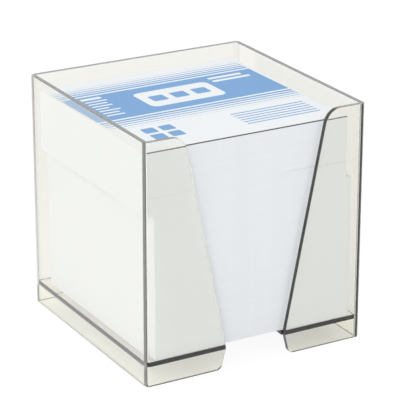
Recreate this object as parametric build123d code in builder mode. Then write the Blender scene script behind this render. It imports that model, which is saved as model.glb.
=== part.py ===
from build123d import *
import math
import os

# Paper cube: loose sheets in two lifts
sheet_width = 90.0
sheet_thickness = 0.108
sheets_per_lot = 47
lower_lots = 12
upper_lots = 5
cover_thickness = 0.3

# Play of the paper in the bay
side_play = 6.0
front_gap = 0.5
side_gap = 0.3
lift_step = 2.5
lean_offset = 0.3
sheet_scatter = 0.03
turned_sheet = 630
sheet_turn = -0.25

# Holder: one clear moulding
wall = 2.0
floor_thickness = 2.0
skirt_height = 8.1
rim_above_paper = 4.8
outer_corner_radius = 2.0
inner_corner_radius = 0.5
edge_radius = 0.3

# Front notch, half-widths measured from the middle of the front wall
notch_rim_half = 32.4
notch_throat_half = 13.7
notch_foot_half = 15.9
notch_rim_radius = 7.0
notch_throat_radius = 3.0
notch_foot_radius = 2.8

# Finger cut-out in the floor: how far it reaches in from the front face, and the lip it leaves beside the throat
finger_reach = 22.0
floor_lip = 0.4

# Sizes that follow
lot_count = lower_lots + upper_lots
lower_sheets = lower_lots * sheets_per_lot
memo_sheets = lot_count * sheets_per_lot + 1
bay_side = sheet_width + side_play
holder_side = bay_side + 2 * wall
floor_top = skirt_height + floor_thickness
paper_top = floor_top + memo_sheets * sheet_thickness
rim_height = paper_top + cover_thickness + rim_above_paper
front_face = -holder_side / 2
front_inside = front_face + wall
paper_y = front_inside + front_gap + sheet_width / 2
upper_x = -bay_side / 2 + side_gap + sheet_width / 2
lower_x = upper_x + lift_step
throat_height = skirt_height + floor_thickness / 2
finger_half = notch_throat_half - floor_lip
finger_centre = front_face + finger_reach - finger_half

os.makedirs("parts", exist_ok=True)


# The holder: walls, floor and skirt in one, open at the top and below the floor
with BuildPart() as holder:
    with BuildSketch(Plane.XY):
        RectangleRounded(holder_side, holder_side, outer_corner_radius)
    extrude(amount=rim_height)
    with BuildSketch(Plane.XY.offset(floor_top)):
        RectangleRounded(bay_side, bay_side, inner_corner_radius)
    extrude(amount=rim_height - floor_top, mode=Mode.SUBTRACT)
    with BuildSketch(Plane.XY):
        RectangleRounded(bay_side, bay_side, inner_corner_radius)
    extrude(amount=skirt_height, mode=Mode.SUBTRACT)

    # The inner edges of the foot and the rim are softened before the notch cuts through them
    level_faces = holder.faces().filter_by(Plane.XY).sort_by(Axis.Z)
    inner_edges = level_faces[0].inner_wires()[0].edges() + level_faces[-1].inner_wires()[0].edges()
    fillet(inner_edges, edge_radius)

    # The notch narrows from the rim to the throat beside the floor, and flares again down the skirt
    with BuildSketch(Plane.XZ.offset(-front_face)) as notch:
        with BuildLine():
            Polyline(
                (0, -wall),
                (holder_side, -wall),
                (holder_side, 0),
                (notch_foot_half, 0),
                (notch_throat_half, throat_height),
                (notch_rim_half, rim_height),
                (holder_side, rim_height),
                (holder_side, rim_height + wall),
                (0, rim_height + wall),
            )
            mirror(about=Plane.YZ)
        make_face()
        fillet(notch.vertices().group_by(Axis.Y)[3].sort_by(Axis.X)[1:3], notch_rim_radius)
        fillet(notch.vertices().group_by(Axis.Y)[2], notch_throat_radius)
        fillet(notch.vertices().group_by(Axis.Y)[1].sort_by(Axis.X)[1:3], notch_foot_radius)
    extrude(amount=-wall, mode=Mode.SUBTRACT)

    # The finger cut-out lets a finger push the last sheets up
    with BuildSketch(Plane.XY.offset(skirt_height)):
        with Locations((0, (front_face + finger_centre) / 2)):
            Rectangle(2 * finger_half, finger_centre - front_face)
        with Locations((0, finger_centre)):
            Circle(finger_half)
    extrude(amount=floor_thickness, mode=Mode.SUBTRACT)

    # One softened edge runs all round the outside: along the rim, down the notch and round the foot
    rim_face = holder.faces().filter_by(Plane.XY).sort_by(Axis.Z)[-1]
    fillet(rim_face.edges().filter_by(Axis.X).sort_by(Axis.Y)[-1], edge_radius)
holder.part.label = "holder"
export_step(holder.part, "parts/holder.step")


# One memo sheet, copied for every place in the cube
with BuildPart() as plain_sheet:
    with BuildSketch(Plane.XY):
        Rectangle(sheet_width, sheet_width)
    extrude(amount=sheet_thickness)


def sheet_place(number):
    """Where a sheet lies: the lower lift leans to the right towards the floor, and the sheets scatter a little."""
    z = floor_top + number * sheet_thickness
    if number < lower_sheets:
        lean = lean_offset * (1 - number / lower_sheets)
        x = lower_x + lean
    else:
        x = upper_x
    x += sheet_scatter * math.sin(number * 2.4)
    y = paper_y + sheet_scatter * math.sin(number * 1.7)
    turn = sheet_turn if number == turned_sheet else 0
    return Location((x, y, z), (0, 0, turn))


# The lots of the cube: each sheet stays a solid of its own, face to face with the next
for lot in range(lot_count):
    name = f"memo_lot_{lot + 1:02d}"
    first = lot * sheets_per_lot
    sheets = [sheet_place(number) * plain_sheet.part for number in range(first, first + sheets_per_lot)]
    memo_lot = Compound(label=name, children=sheets)
    export_step(memo_lot, f"parts/{name}.step")


# The memo sheet on top of the cube
with BuildPart() as memo_sheet:
    with BuildSketch(Plane.XY.offset(paper_top - sheet_thickness)):
        with Locations((upper_x, paper_y)):
            Rectangle(sheet_width, sheet_width)
    extrude(amount=sheet_thickness)
memo_sheet.part.label = "memo_sheet"
export_step(memo_sheet.part, "parts/memo_sheet.step")


# The printed cover sheet, thin card
with BuildPart() as cover_sheet:
    with BuildSketch(Plane.XY.offset(paper_top)):
        with Locations((upper_x, paper_y)):
            Rectangle(sheet_width, sheet_width)
    extrude(amount=cover_thickness)
cover_sheet.part.label = "cover_sheet"
export_step(cover_sheet.part, "parts/cover_sheet.step")
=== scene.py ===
import bpy
import math
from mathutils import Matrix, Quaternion, Vector


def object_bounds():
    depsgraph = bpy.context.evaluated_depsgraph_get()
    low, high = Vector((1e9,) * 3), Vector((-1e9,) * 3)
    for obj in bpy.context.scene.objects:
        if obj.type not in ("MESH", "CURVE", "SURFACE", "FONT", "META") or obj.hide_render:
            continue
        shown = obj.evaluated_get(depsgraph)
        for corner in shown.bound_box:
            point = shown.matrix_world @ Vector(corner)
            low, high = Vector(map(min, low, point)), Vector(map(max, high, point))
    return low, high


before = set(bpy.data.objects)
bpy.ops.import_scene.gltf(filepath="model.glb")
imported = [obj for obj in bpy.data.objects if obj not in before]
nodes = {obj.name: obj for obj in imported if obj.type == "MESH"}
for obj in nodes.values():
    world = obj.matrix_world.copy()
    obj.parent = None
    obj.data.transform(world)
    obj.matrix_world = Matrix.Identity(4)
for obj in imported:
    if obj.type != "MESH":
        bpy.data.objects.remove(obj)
cad_low, cad_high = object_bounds()


# The holder is one injection moulding: four walls, the raised floor and the skirt under it, with the front
# notch and the finger cut-out. It is clear polystyrene with a faint smoky tint, polished by its mould.
def srgb(code):
    """A hex colour as the linear colour that the shaders use."""
    channels = [int(code[i:i + 2], 16) / 255 for i in (1, 3, 5)]
    return tuple(c / 12.92 if c <= 0.04045 else ((c + 0.055) / 1.055) ** 2.4 for c in channels) + (1.0,)


def add_node(owner, kind, inputs=(), **settings):
    """Adds one node to a material or the world, sets its settings, and gives each input a value or a link."""
    node = owner.node_tree.nodes.new(kind)
    for name, value in settings.items():
        setattr(node, name, value)
    for socket, value in dict(inputs).items():
        if isinstance(value, bpy.types.NodeSocket):
            owner.node_tree.links.new(value, node.inputs[socket])
        else:
            node.inputs[socket].default_value = value
    return node


def new_material(name):
    """An empty node material."""
    material = bpy.data.materials.new(name)
    material.use_nodes = True
    material.node_tree.nodes.clear()
    return material


# Clear polystyrene, injection moulded: a high index, so every edge shows dark, and a mirror-smooth face.
# The tint is a trace of olive face on, and the grey of the plastic itself along the edges.
polystyrene = new_material("clear_polystyrene_moulded")
holder_place = add_node(polystyrene, "ShaderNodeTexCoord")
# The skin of the moulding swims a little where the melt flowed, about 12 mm from crest to crest
flow_pitch = 12.0
flow_marks = add_node(polystyrene, "ShaderNodeTexNoise", {
    "Vector": holder_place.outputs["Object"],
    "Scale": 1000 / flow_pitch,
    "Detail": 1.0,
})
flow_bump = add_node(polystyrene, "ShaderNodeBump", {
    "Height": flow_marks.outputs["Fac"],
    "Strength": 0.02,
    "Distance": 0.0005,
})

# Below the floor's underside the plastic is tinted a little yellower: painted shade, for the shaded space
# under the floor that shows through the skirt
floor_underside = 0.0081
holder_axes = add_node(polystyrene, "ShaderNodeSeparateXYZ", {0: holder_place.outputs["Object"]})
across, depth, height = holder_axes.outputs["X"], holder_axes.outputs["Y"], holder_axes.outputs["Z"]
below_floor = add_node(polystyrene, "ShaderNodeMath", {0: height, 1: floor_underside}, operation="LESS_THAN")
tint_and_skirt_shade = add_node(polystyrene, "ShaderNodeMix", {
    0: below_floor.outputs[0],
    6: srgb("#FBFAF5"),
    7: srgb("#FBFAF0"),
}, data_type="RGBA")

# The top 0.25 mm of the rim and the left side of the front left corner, as far in as the front wall is thick,
# are paler and less clear: there light scatters, and these edges show lighter
paler_rim_foot = 0.10135
front_inside = -0.0480
on_rim = add_node(polystyrene, "ShaderNodeMath", {0: height, 1: paler_rim_foot}, operation="GREATER_THAN")
left_reach = add_node(polystyrene, "ShaderNodeMath", {0: depth, 1: across}, operation="SUBTRACT")
left_of_corner = add_node(polystyrene, "ShaderNodeMath", {
    0: left_reach.outputs[0],
    1: 0.0,
}, operation="GREATER_THAN")
on_front = add_node(polystyrene, "ShaderNodeMath", {0: depth, 1: front_inside}, operation="LESS_THAN")
front_corner = add_node(polystyrene, "ShaderNodeMath", {
    0: on_front.outputs[0],
    1: left_of_corner.outputs[0],
}, operation="MULTIPLY")
paler_rim_and_corner = add_node(polystyrene, "ShaderNodeMath", {
    0: on_rim.outputs[0],
    1: front_corner.outputs[0],
}, operation="MAXIMUM")
rim_and_corner_colour = add_node(polystyrene, "ShaderNodeMix", {
    0: paler_rim_and_corner.outputs[0],
    6: tint_and_skirt_shade.outputs[2],
    7: srgb("#E0E0DC"),
}, data_type="RGBA")

# Painted light: the left side of the back left corner, where the light from the left falls, is made pale and
# hazy, most of all just above the floor and less down the skirt. The further back and left a point lies, the
# greater its reach, up to 100 mm at a sharp corner
corner_start = 0.0967
rim_top = 0.1016
floor_top = 0.0101
light_at_rim = 0.5
light_at_floor = 1.0
skirt_share = 0.45
back_left_corner = add_node(polystyrene, "ShaderNodeMath", {
    0: left_reach.outputs[0],
    1: corner_start,
}, operation="GREATER_THAN")
back_reach = add_node(polystyrene, "ShaderNodeMath", {0: depth, 1: across}, operation="ADD")
left_of_back = add_node(polystyrene, "ShaderNodeMath", {
    0: back_reach.outputs[0],
    1: 0.0,
}, operation="LESS_THAN")
corner_side = add_node(polystyrene, "ShaderNodeMath", {
    0: back_left_corner.outputs[0],
    1: left_of_back.outputs[0],
}, operation="MULTIPLY")
corner_light_share = add_node(polystyrene, "ShaderNodeMapRange", {
    "Value": height,
    "From Min": rim_top,
    "From Max": floor_top,
    "To Min": light_at_rim,
    "To Max": light_at_floor,
})
lit_corner_haze = add_node(polystyrene, "ShaderNodeMath", {
    0: corner_side.outputs[0],
    1: corner_light_share.outputs["Result"],
}, operation="MULTIPLY")
skirt_light_share = add_node(polystyrene, "ShaderNodeMapRange", {
    "Value": below_floor.outputs[0],
    "To Min": 1.0,
    "To Max": skirt_share,
})
painted_back_left_light = add_node(polystyrene, "ShaderNodeMath", {
    0: lit_corner_haze.outputs[0],
    1: skirt_light_share.outputs["Result"],
}, operation="MULTIPLY")

# The same painted light lies on the outer half millimetre of the left wall, lightly along the floor and
# strongly along the foot: paler, less clear plastic where the light from the left falls
left_outside = -0.0495
floor_middle = 0.0091
floor_band_half = 0.0014
floor_band_light = 0.21
foot_band_top = 0.0006
foot_band_light = 0.8
on_left = add_node(polystyrene, "ShaderNodeMath", {0: across, 1: left_outside}, operation="LESS_THAN")
from_floor = add_node(polystyrene, "ShaderNodeMath", {0: height, 1: floor_middle}, operation="SUBTRACT")
floor_reach = add_node(polystyrene, "ShaderNodeMath", {0: from_floor.outputs[0]}, operation="ABSOLUTE")
at_floor = add_node(polystyrene, "ShaderNodeMath", {
    0: floor_reach.outputs[0],
    1: floor_band_half,
}, operation="LESS_THAN")
floor_band_lit = add_node(polystyrene, "ShaderNodeMath", {
    0: at_floor.outputs[0],
    1: floor_band_light,
}, operation="MULTIPLY")
at_foot = add_node(polystyrene, "ShaderNodeMath", {0: height, 1: foot_band_top}, operation="LESS_THAN")
foot_band_lit = add_node(polystyrene, "ShaderNodeMath", {
    0: at_foot.outputs[0],
    1: foot_band_light,
}, operation="MULTIPLY")
lit_edge_share = add_node(polystyrene, "ShaderNodeMath", {
    0: floor_band_lit.outputs[0],
    1: foot_band_lit.outputs[0],
}, operation="MAXIMUM")
painted_left_light = add_node(polystyrene, "ShaderNodeMath", {
    0: on_left.outputs[0],
    1: lit_edge_share.outputs[0],
}, operation="MULTIPLY")

# A last pale, less clear line, 0.6 mm wide, runs up the front face beside the front right corner: painted
# light, which lightens part of that corner's dark edge
front_outside = -0.0495
right_line_middle = 0.0475
right_line_half = 0.0003
right_line_light = 0.7
on_front_face = add_node(polystyrene, "ShaderNodeMath", {0: depth, 1: front_outside}, operation="LESS_THAN")
beside_right = add_node(polystyrene, "ShaderNodeMath", {
    0: across,
    1: right_line_middle,
    2: right_line_half,
}, operation="COMPARE")
right_line = add_node(polystyrene, "ShaderNodeMath", {
    0: on_front_face.outputs[0],
    1: beside_right.outputs[0],
}, operation="MULTIPLY")
painted_right_line = add_node(polystyrene, "ShaderNodeMath", {
    0: right_line.outputs[0],
    1: right_line_light,
}, operation="MULTIPLY")
painted_side_light = add_node(polystyrene, "ShaderNodeMath", {
    0: painted_left_light.outputs[0],
    1: painted_right_line.outputs[0],
}, operation="MAXIMUM")
painted_edge_light = add_node(polystyrene, "ShaderNodeMath", {
    0: painted_back_left_light.outputs[0],
    1: painted_side_light.outputs[0],
}, operation="MAXIMUM")

# How much light goes straight through: nearly all on the plain plastic, less on the paler rim and corner, and
# little where light is painted on the edges
clear_as_new = 0.985
clear_rim_and_corner = 0.7
clear_where_painted_light = 0.2
# Where light is painted on the edges, the plastic turns a pale, cloudy white
plastic_colour = add_node(polystyrene, "ShaderNodeMix", {
    0: painted_edge_light.outputs[0],
    6: rim_and_corner_colour.outputs[2],
    7: srgb("#F4F4F0"),
}, data_type="RGBA")
rim_and_corner_clearness = add_node(polystyrene, "ShaderNodeMapRange", {
    "Value": paler_rim_and_corner.outputs[0],
    "To Min": clear_as_new,
    "To Max": clear_rim_and_corner,
})
clearness = add_node(polystyrene, "ShaderNodeMapRange", {
    "Value": painted_edge_light.outputs[0],
    "To Min": rim_and_corner_clearness.outputs["Result"],
    "To Max": clear_where_painted_light,
})
polystyrene_shader = add_node(polystyrene, "ShaderNodeBsdfPrincipled", {
    "Base Color": plastic_colour.outputs[2],
    "Roughness": 0.01,
    "IOR": 1.59,
    "Transmission Weight": clearness.outputs["Result"],
    "Normal": flow_bump.outputs["Normal"],
})
polystyrene_body = add_node(polystyrene, "ShaderNodeVolumeAbsorption", {
    "Color": srgb("#BCBFB1"),
    "Density": 20.0,
})
add_node(polystyrene, "ShaderNodeOutputMaterial", {
    "Surface": polystyrene_shader.outputs["BSDF"],
    "Volume": polystyrene_body.outputs["Volume"],
})
nodes["holder"].data.materials.clear()
nodes["holder"].data.materials.append(polystyrene)


# The memo sheets are white uncoated writing paper of 80 g/m2. Two guillotine-cut lifts lie one on the other,
# loose, so every sheet edge shows on the sides of the cube.
memo_paper = new_material("uncoated_writing_paper")
memo_place = add_node(memo_paper, "ShaderNodeTexCoord")
# Fibre clouds, about 1.5 mm across, make its matt white a little uneven
fibre_cloud_size = 1.5
fibre_clouds = add_node(memo_paper, "ShaderNodeTexNoise", {
    "Vector": memo_place.outputs["Object"],
    "Scale": 1000 / fibre_cloud_size,
    "Detail": 4.0,
    "Roughness": 0.6,
})
# The sheet edges show as fine level lines. A sheet is 0.108 mm, too fine to show, so the lines are drawn
# about 0.9 mm apart, as where a few sheets stand a hair proud together
edge_line_pitch = 0.9
edge_scale = add_node(memo_paper, "ShaderNodeMapping", {
    "Vector": memo_place.outputs["Object"],
    "Scale": (12.0, 12.0, 1000 / edge_line_pitch),
})
sheet_lines = add_node(memo_paper, "ShaderNodeTexNoise", {
    "Vector": edge_scale.outputs["Vector"],
    "Scale": 1.0,
    "Detail": 2.0,
    "Roughness": 0.7,
})
# The guillotine blade leaves faint upright streaks, about 3 mm apart
blade_pitch = 3.0
blade_scale = add_node(memo_paper, "ShaderNodeMapping", {
    "Vector": memo_place.outputs["Object"],
    "Scale": (1000 / blade_pitch, 1000 / blade_pitch, 6.0),
})
blade_marks = add_node(memo_paper, "ShaderNodeTexNoise", {
    "Vector": blade_scale.outputs["Vector"],
    "Scale": 1.0,
    "Detail": 2.0,
})
paper_marks = add_node(memo_paper, "ShaderNodeMath", {
    0: sheet_lines.outputs["Fac"],
    1: blade_marks.outputs["Fac"],
}, operation="MULTIPLY")
marks_low = 0.12
marks_high = 0.38
paper_shade = add_node(memo_paper, "ShaderNodeMapRange", {
    "Value": paper_marks.outputs[0],
    "From Min": marks_low,
    "From Max": marks_high,
})
paper_white = add_node(memo_paper, "ShaderNodeMix", {
    0: paper_shade.outputs["Result"],
    6: srgb("#EDF1F4"),
    7: srgb("#F0F3F6"),
}, data_type="RGBA")
# One sheet is a little turned and stands proud on the right of the front. The two or three sheets under it,
# below 78.14 mm, lie in its hairline shade, which comes in from 12 to 18 mm right of the middle
shade_middle = 0.07801
shade_half = 0.00013
shade_start = 0.012
shade_full = 0.018
cube_axes = add_node(memo_paper, "ShaderNodeSeparateXYZ", {0: memo_place.outputs["Object"]})
shade_height = add_node(memo_paper, "ShaderNodeMath", {
    0: cube_axes.outputs["Z"],
    1: shade_middle,
    2: shade_half,
}, operation="COMPARE")
shade_length = add_node(memo_paper, "ShaderNodeMapRange", {
    "Value": cube_axes.outputs["X"],
    "From Min": shade_start,
    "From Max": shade_full,
})
turned_shade = add_node(memo_paper, "ShaderNodeMath", {
    0: shade_height.outputs[0],
    1: shade_length.outputs["Result"],
}, operation="MULTIPLY")
paper_colour = add_node(memo_paper, "ShaderNodeMix", {
    0: turned_shade.outputs[0],
    6: paper_white.outputs[2],
    7: srgb("#DBDDDB"),
}, data_type="RGBA")
paper_bump_height = add_node(memo_paper, "ShaderNodeMath", {
    0: fibre_clouds.outputs["Fac"],
    1: sheet_lines.outputs["Fac"],
}, operation="ADD")
paper_bump = add_node(memo_paper, "ShaderNodeBump", {
    "Height": paper_bump_height.outputs[0],
    "Strength": 0.15,
    "Distance": 0.00005,
})
memo_shader = add_node(memo_paper, "ShaderNodeBsdfPrincipled", {
    "Base Color": paper_colour.outputs[2],
    "Roughness": 0.9,
    "Specular IOR Level": 0.2,
    "Normal": paper_bump.outputs["Normal"],
})
add_node(memo_paper, "ShaderNodeOutputMaterial", {"Surface": memo_shader.outputs["BSDF"]})
for name, node in nodes.items():
    if name.startswith("memo_"):
        node.data.materials.clear()
        node.data.materials.append(memo_paper)


# The cover sheet lies loose on top of the cube. It is thin white card, printed in one blue, and cut with the
# cube. Its print here is plain: a band with fading rules, and blocks of no meaning.
cover_card = new_material("printed_card")
card_place = add_node(cover_card, "ShaderNodeTexCoord")
# The print is laid out in millimetres from the middle of the sheet, and is printed a little askew
sheet_middle = (-0.0027, -0.0025, 0.0)
print_skew = math.radians(-0.9)
print_shift = add_node(cover_card, "ShaderNodeVectorMath", {
    0: card_place.outputs["Object"],
    1: sheet_middle,
}, operation="SUBTRACT")
print_turn = add_node(cover_card, "ShaderNodeMapping", {
    "Vector": print_shift.outputs[0],
    "Rotation": (0.0, 0.0, print_skew),
    "Scale": (1000.0, 1000.0, 0.0),
})
print_place = print_turn.outputs["Vector"]
print_axes = add_node(cover_card, "ShaderNodeSeparateXYZ", {0: print_place})

# Outside the band, past a white line, lie rules that thin out to nothing
band_middle = 11.6
band_half = 15.7
white_line = 1.4
rule_pitch = 2.5
rules_end = 11.0
first_rule_share = 0.7
print_half = 43.9
band_offset = add_node(cover_card, "ShaderNodeMath", {
    0: print_axes.outputs["Y"],
    1: band_middle,
}, operation="SUBTRACT")
band_distance = add_node(cover_card, "ShaderNodeMath", {0: band_offset.outputs[0]}, operation="ABSOLUTE")
band_outside = add_node(cover_card, "ShaderNodeMath", {
    0: band_distance.outputs[0],
    1: band_half,
}, operation="SUBTRACT")
in_band = add_node(cover_card, "ShaderNodeMath", {0: band_outside.outputs[0], 1: 0.0}, operation="LESS_THAN")
past_line = add_node(cover_card, "ShaderNodeMath", {
    0: band_outside.outputs[0],
    1: white_line,
}, operation="SUBTRACT")
after_line = add_node(cover_card, "ShaderNodeMath", {
    0: past_line.outputs[0],
    1: 0.0,
}, operation="GREATER_THAN")
rule_count = add_node(cover_card, "ShaderNodeMath", {
    0: past_line.outputs[0],
    1: rule_pitch,
}, operation="DIVIDE")
rule_phase = add_node(cover_card, "ShaderNodeMath", {0: rule_count.outputs[0]}, operation="FRACT")
rule_width = add_node(cover_card, "ShaderNodeMapRange", {
    "Value": past_line.outputs[0],
    "From Min": 0.0,
    "From Max": rules_end,
    "To Min": first_rule_share,
    "To Max": 0.0,
})
on_rule = add_node(cover_card, "ShaderNodeMath", {
    0: rule_phase.outputs[0],
    1: rule_width.outputs["Result"],
}, operation="LESS_THAN")
rules = add_node(cover_card, "ShaderNodeMath", {
    0: on_rule.outputs[0],
    1: after_line.outputs[0],
}, operation="MULTIPLY")
band_ink = add_node(cover_card, "ShaderNodeMath", {
    0: in_band.outputs[0],
    1: rules.outputs[0],
}, operation="MAXIMUM")
side_distance = add_node(cover_card, "ShaderNodeMath", {0: print_axes.outputs["X"]}, operation="ABSOLUTE")
inside_margin = add_node(cover_card, "ShaderNodeMath", {
    0: side_distance.outputs[0],
    1: print_half,
}, operation="LESS_THAN")
ink = add_node(cover_card, "ShaderNodeMath", {
    0: band_ink.outputs[0],
    1: inside_margin.outputs[0],
}, operation="MULTIPLY")

# Rounded blocks: inked or left bare, middle x and y, half width, half height and corner radius
print_blocks = [("bare", 1.0, band_middle, 17.5, 9.5, 3.0)]
for column in range(3):
    print_blocks.append(("inked", -9.0 + 10.0 * column, band_middle, 3.4, 3.4, 0.8))
print_blocks.append(("bare", -33.5, 24.0, 4.6, 1.2, 0.4))
for row, length in enumerate((10.0, 8.5, 9.2, 6.0, 9.6, 7.4, 8.2)):
    print_blocks.append(("bare", -38.1 + length / 2, 20.2 - 3.1 * row, length / 2, 0.6, 0.3))
print_blocks.append(("bare", 29.5, 23.4, 8.0, 1.1, 0.4))
print_blocks.append(("bare", 30.5, 19.4, 9.0, 1.1, 0.4))
for column in range(2):
    for row in range(2):
        print_blocks.append(("inked", -32.2 + 7.8 * column, -30.2 + 7.8 * row, 2.9, 2.9, 0.8))
for row in range(6):
    print_blocks.append(("inked", 22.2, -34.6 + 2.6 * row, 17.0, 0.45, 0.2))
for kind, x, y, half_width, half_height, radius in print_blocks:
    offset = add_node(cover_card, "ShaderNodeVectorMath", {
        0: print_place,
        1: (x, y, 0.0),
    }, operation="SUBTRACT")
    mirrored = add_node(cover_card, "ShaderNodeVectorMath", {0: offset.outputs[0]}, operation="ABSOLUTE")
    beyond = add_node(cover_card, "ShaderNodeVectorMath", {
        0: mirrored.outputs[0],
        1: (half_width - radius, half_height - radius, 0.0),
    }, operation="SUBTRACT")
    outward = add_node(cover_card, "ShaderNodeVectorMath", {
        0: beyond.outputs[0],
        1: (0.0, 0.0, 0.0),
    }, operation="MAXIMUM")
    reach = add_node(cover_card, "ShaderNodeVectorMath", {0: outward.outputs[0]}, operation="LENGTH")
    inside = add_node(cover_card, "ShaderNodeMath", {
        0: reach.outputs["Value"],
        1: radius,
    }, operation="LESS_THAN")
    ink = add_node(cover_card, "ShaderNodeMath", {
        0: ink.outputs[0],
        1: inside.outputs[0],
    }, operation="MAXIMUM" if kind == "inked" else "SUBTRACT", use_clamp=True)

# The ink soaks in unevenly, in clouds of about 2 mm
ink_cloud_size = 2.0
ink_clouds = add_node(cover_card, "ShaderNodeTexNoise", {
    "Vector": print_place,
    "Scale": 1 / ink_cloud_size,
    "Detail": 3.0,
})
ink_blue = add_node(cover_card, "ShaderNodeMix", {
    0: ink_clouds.outputs["Fac"],
    6: srgb("#7CA8D8"),
    7: srgb("#84AEDC"),
}, data_type="RGBA")
card_face = add_node(cover_card, "ShaderNodeMix", {
    0: ink.outputs[0],
    6: srgb("#F0F4F6"),
    7: ink_blue.outputs[2],
}, data_type="RGBA")
# Only the upper face is printed. The back and the cut edges are a duller white
card_shape = add_node(cover_card, "ShaderNodeNewGeometry")
card_normal = add_node(cover_card, "ShaderNodeSeparateXYZ", {0: card_shape.outputs["Normal"]})
is_face = add_node(cover_card, "ShaderNodeMath", {
    0: card_normal.outputs["Z"],
    1: 0.5,
}, operation="GREATER_THAN")
card_clean = add_node(cover_card, "ShaderNodeMix", {
    0: is_face.outputs[0],
    6: srgb("#E4E4E0"),
    7: card_face.outputs[2],
}, data_type="RGBA")
# The front edge, and the face 0.6 mm in from it, are coloured a dark grey-brown. The other edges are not
dark_band_inner_edge = -0.0469
card_axes = add_node(cover_card, "ShaderNodeSeparateXYZ", {0: card_place.outputs["Object"]})
at_card_front = add_node(cover_card, "ShaderNodeMath", {
    0: card_axes.outputs["Y"],
    1: dark_band_inner_edge,
}, operation="LESS_THAN")
card_colour = add_node(cover_card, "ShaderNodeMix", {
    0: at_card_front.outputs[0],
    6: card_clean.outputs[2],
    7: srgb("#5E5751"),
}, data_type="RGBA")
# The fibres of the card, about 0.8 mm long, roughen it slightly
card_fibre_length = 0.8
card_fibres = add_node(cover_card, "ShaderNodeTexNoise", {
    "Vector": card_place.outputs["Object"],
    "Scale": 1000 / card_fibre_length,
    "Detail": 3.0,
})
card_bump = add_node(cover_card, "ShaderNodeBump", {
    "Height": card_fibres.outputs["Fac"],
    "Strength": 0.15,
    "Distance": 0.00005,
})
card_shader = add_node(cover_card, "ShaderNodeBsdfPrincipled", {
    "Base Color": card_colour.outputs[2],
    "Roughness": 0.75,
    "Specular IOR Level": 0.3,
    "Normal": card_bump.outputs["Normal"],
})
add_node(cover_card, "ShaderNodeOutputMaterial", {"Surface": card_shader.outputs["BSDF"]})
nodes["cover_sheet"].data.materials.clear()
nodes["cover_sheet"].data.materials.append(cover_card)


# The table under the holder is plain white. The camera and the clear plastic see it almost as bright as the
# backdrop, and it keeps a faint shadow. It lies a hair below the foot, so that the two faces don't coincide.
table_height = -0.00005
bpy.ops.mesh.primitive_plane_add(size=6.0, location=(0.0, 0.0, table_height))
table = bpy.context.object
table.name = "table"
white_table = new_material("white_table")
table_path = add_node(white_table, "ShaderNodeLightPath")
table_seen_plain = add_node(white_table, "ShaderNodeMath", {
    0: table_path.outputs["Is Camera Ray"],
    1: table_path.outputs["Is Glossy Ray"],
}, operation="MAXIMUM")
table_seen_clear = add_node(white_table, "ShaderNodeMath", {
    0: table_seen_plain.outputs[0],
    1: table_path.outputs["Is Transmission Ray"],
}, operation="MAXIMUM")
table_lit = add_node(white_table, "ShaderNodeBsdfDiffuse", {"Color": srgb("#F3F3F3")})
# Through the clear plastic the shade under the holder shows more strongly than on the open table
table_shade = add_node(white_table, "ShaderNodeMix", {
    0: table_path.outputs["Is Transmission Ray"],
    6: srgb("#5D5D5D"),
    7: srgb("#BFBFBF"),
}, data_type="RGBA")
# The glow makes up the rest of the white. Through the plastic it is painted to fall from left to right, away
# from the light: painted shade under the holder
shade_left = -0.03
shade_right = 0.04
glow_left = 0.55
glow_right = 0.46
open_glow = 0.92
table_place = add_node(white_table, "ShaderNodeTexCoord")
table_axes = add_node(white_table, "ShaderNodeSeparateXYZ", {0: table_place.outputs["Object"]})
plastic_glow = add_node(white_table, "ShaderNodeMapRange", {
    "Value": table_axes.outputs["X"],
    "From Min": shade_left,
    "From Max": shade_right,
    "To Min": glow_left,
    "To Max": glow_right,
})
table_strength = add_node(white_table, "ShaderNodeMapRange", {
    "Value": table_path.outputs["Is Transmission Ray"],
    "To Min": open_glow,
    "To Max": plastic_glow.outputs["Result"],
})
table_shadow = add_node(white_table, "ShaderNodeBsdfDiffuse", {"Color": table_shade.outputs[2]})
table_glow = add_node(white_table, "ShaderNodeEmission", {
    "Color": srgb("#FFFFFF"),
    "Strength": table_strength.outputs["Result"],
})
table_white = add_node(white_table, "ShaderNodeAddShader", {
    0: table_shadow.outputs[0],
    1: table_glow.outputs[0],
})
table_mix = add_node(white_table, "ShaderNodeMixShader", {
    0: table_seen_clear.outputs[0],
    1: table_lit.outputs[0],
    2: table_white.outputs[0],
})
add_node(white_table, "ShaderNodeOutputMaterial", {"Surface": table_mix.outputs[0]})
table.data.materials.append(white_table)


# The studio is one large soft light, brighter from the left. The camera and the clear plastic see it as plain
# white. Paper outside the holder is lit more evenly than paper behind its walls, so that it keeps its shading.
open_slope = (-0.12, 0.0, -0.12)
plastic_slope = (-0.66, 0.0, -0.12)
studio_mean = 1.08
studio = bpy.data.worlds.new("studio")
bpy.context.scene.world = studio
studio.use_nodes = True
studio.node_tree.nodes.clear()
studio_way = add_node(studio, "ShaderNodeTexCoord")
studio_path = add_node(studio, "ShaderNodeLightPath")
studio_slope = add_node(studio, "ShaderNodeMix", {
    0: studio_path.outputs["Is Transmission Ray"],
    4: open_slope,
    5: plastic_slope,
}, data_type="VECTOR")
studio_side = add_node(studio, "ShaderNodeVectorMath", {
    0: studio_way.outputs["Generated"],
    1: studio_slope.outputs[1],
}, operation="DOT_PRODUCT")
studio_level = add_node(studio, "ShaderNodeMath", {
    0: studio_side.outputs["Value"],
    1: studio_mean,
}, operation="ADD")
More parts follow.
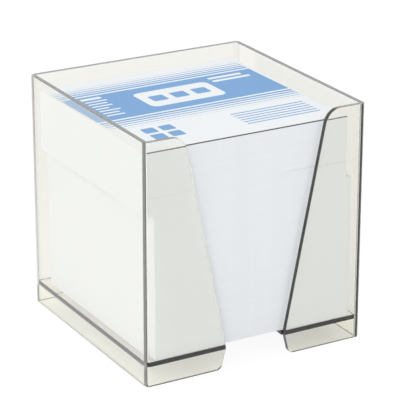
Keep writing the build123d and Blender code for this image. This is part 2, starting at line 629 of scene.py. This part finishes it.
# A ray sees the plain white only until it meets a matt surface. From there on it brings light
studio_seen_plain = add_node(studio, "ShaderNodeMath", {
    0: studio_path.outputs["Is Camera Ray"],
    1: studio_path.outputs["Is Glossy Ray"],
}, operation="MAXIMUM")
studio_seen_clear = add_node(studio, "ShaderNodeMath", {
    0: studio_seen_plain.outputs[0],
    1: studio_path.outputs["Is Transmission Ray"],
}, operation="MAXIMUM")
studio_direct = add_node(studio, "ShaderNodeMath", {
    0: studio_path.outputs["Diffuse Depth"],
    1: 0.5,
}, operation="LESS_THAN")
studio_seen = add_node(studio, "ShaderNodeMath", {
    0: studio_seen_clear.outputs[0],
    1: studio_direct.outputs[0],
}, operation="MULTIPLY")
studio_strength = add_node(studio, "ShaderNodeMix", {
    0: studio_seen.outputs[0],
    2: studio_level.outputs[0],
    3: 1.0,
}, data_type="FLOAT")
# Its left side is a little bluer, so the paper behind the left wall looks a neutral white. The tint is linear,
# because a light may be brighter than a hex colour can say
left_tint = (1.01, 0.985, 1.09, 1.0)
studio_blue = add_node(studio, "ShaderNodeMix", {
    0: studio_side.outputs["Value"],
    6: srgb("#FFFFFF"),
    7: left_tint,
}, data_type="RGBA")
studio_colour = add_node(studio, "ShaderNodeMix", {
    0: studio_seen.outputs[0],
    6: studio_blue.outputs[2],
    7: srgb("#FFFFFF"),
}, data_type="RGBA")
studio_light = add_node(studio, "ShaderNodeBackground", {
    "Color": studio_colour.outputs[2],
    "Strength": studio_strength.outputs[0],
})
add_node(studio, "ShaderNodeOutputWorld", {"Surface": studio_light.outputs[0]})


# The camera stands in front, to the left and a little above, where the photograph was taken. It looks at a
# point beside the holder's middle, and its lens fills a frame of 400 pixels as the photograph does.
view_azimuth = math.radians(-29.69)
view_elevation = math.radians(20.753)
view_roll = math.radians(0.084)
view_distance = 0.8874
aim_right = 0.00227
aim_up = 0.00219
focal_pixels = 2146.1
frame_pixels = 400
sensor_width = 36.0
forward = Vector((-math.sin(view_azimuth) * math.cos(view_elevation),
                  math.cos(view_azimuth) * math.cos(view_elevation),
                  -math.sin(view_elevation)))
right = forward.cross(Vector((0.0, 0.0, 1.0))).normalized()
up = right.cross(forward)
aim = Vector((0.0, 0.0, cad_high.z / 2)) + right * aim_right + up * aim_up
camera_data = bpy.data.cameras.new("camera")
camera = bpy.data.objects.new("camera", camera_data)
bpy.context.scene.collection.objects.link(camera)
camera.location = aim - forward * view_distance
camera.rotation_mode = "QUATERNION"
camera.rotation_quaternion = forward.to_track_quat("-Z", "Y") @ Quaternion((0.0, 0.0, 1.0), view_roll)
camera_data.sensor_width = sensor_width
camera_data.lens = sensor_width * focal_pixels / frame_pixels
camera_data.clip_start = 0.05
camera_data.clip_end = 20.0
bpy.context.scene.camera = camera
bpy.context.scene.view_settings.view_transform = "Standard"
# Light that comes back from the paper through the clear walls stays sharp, so the paper behind them keeps
# its white
bpy.context.scene.cycles.blur_glossy = 0.0
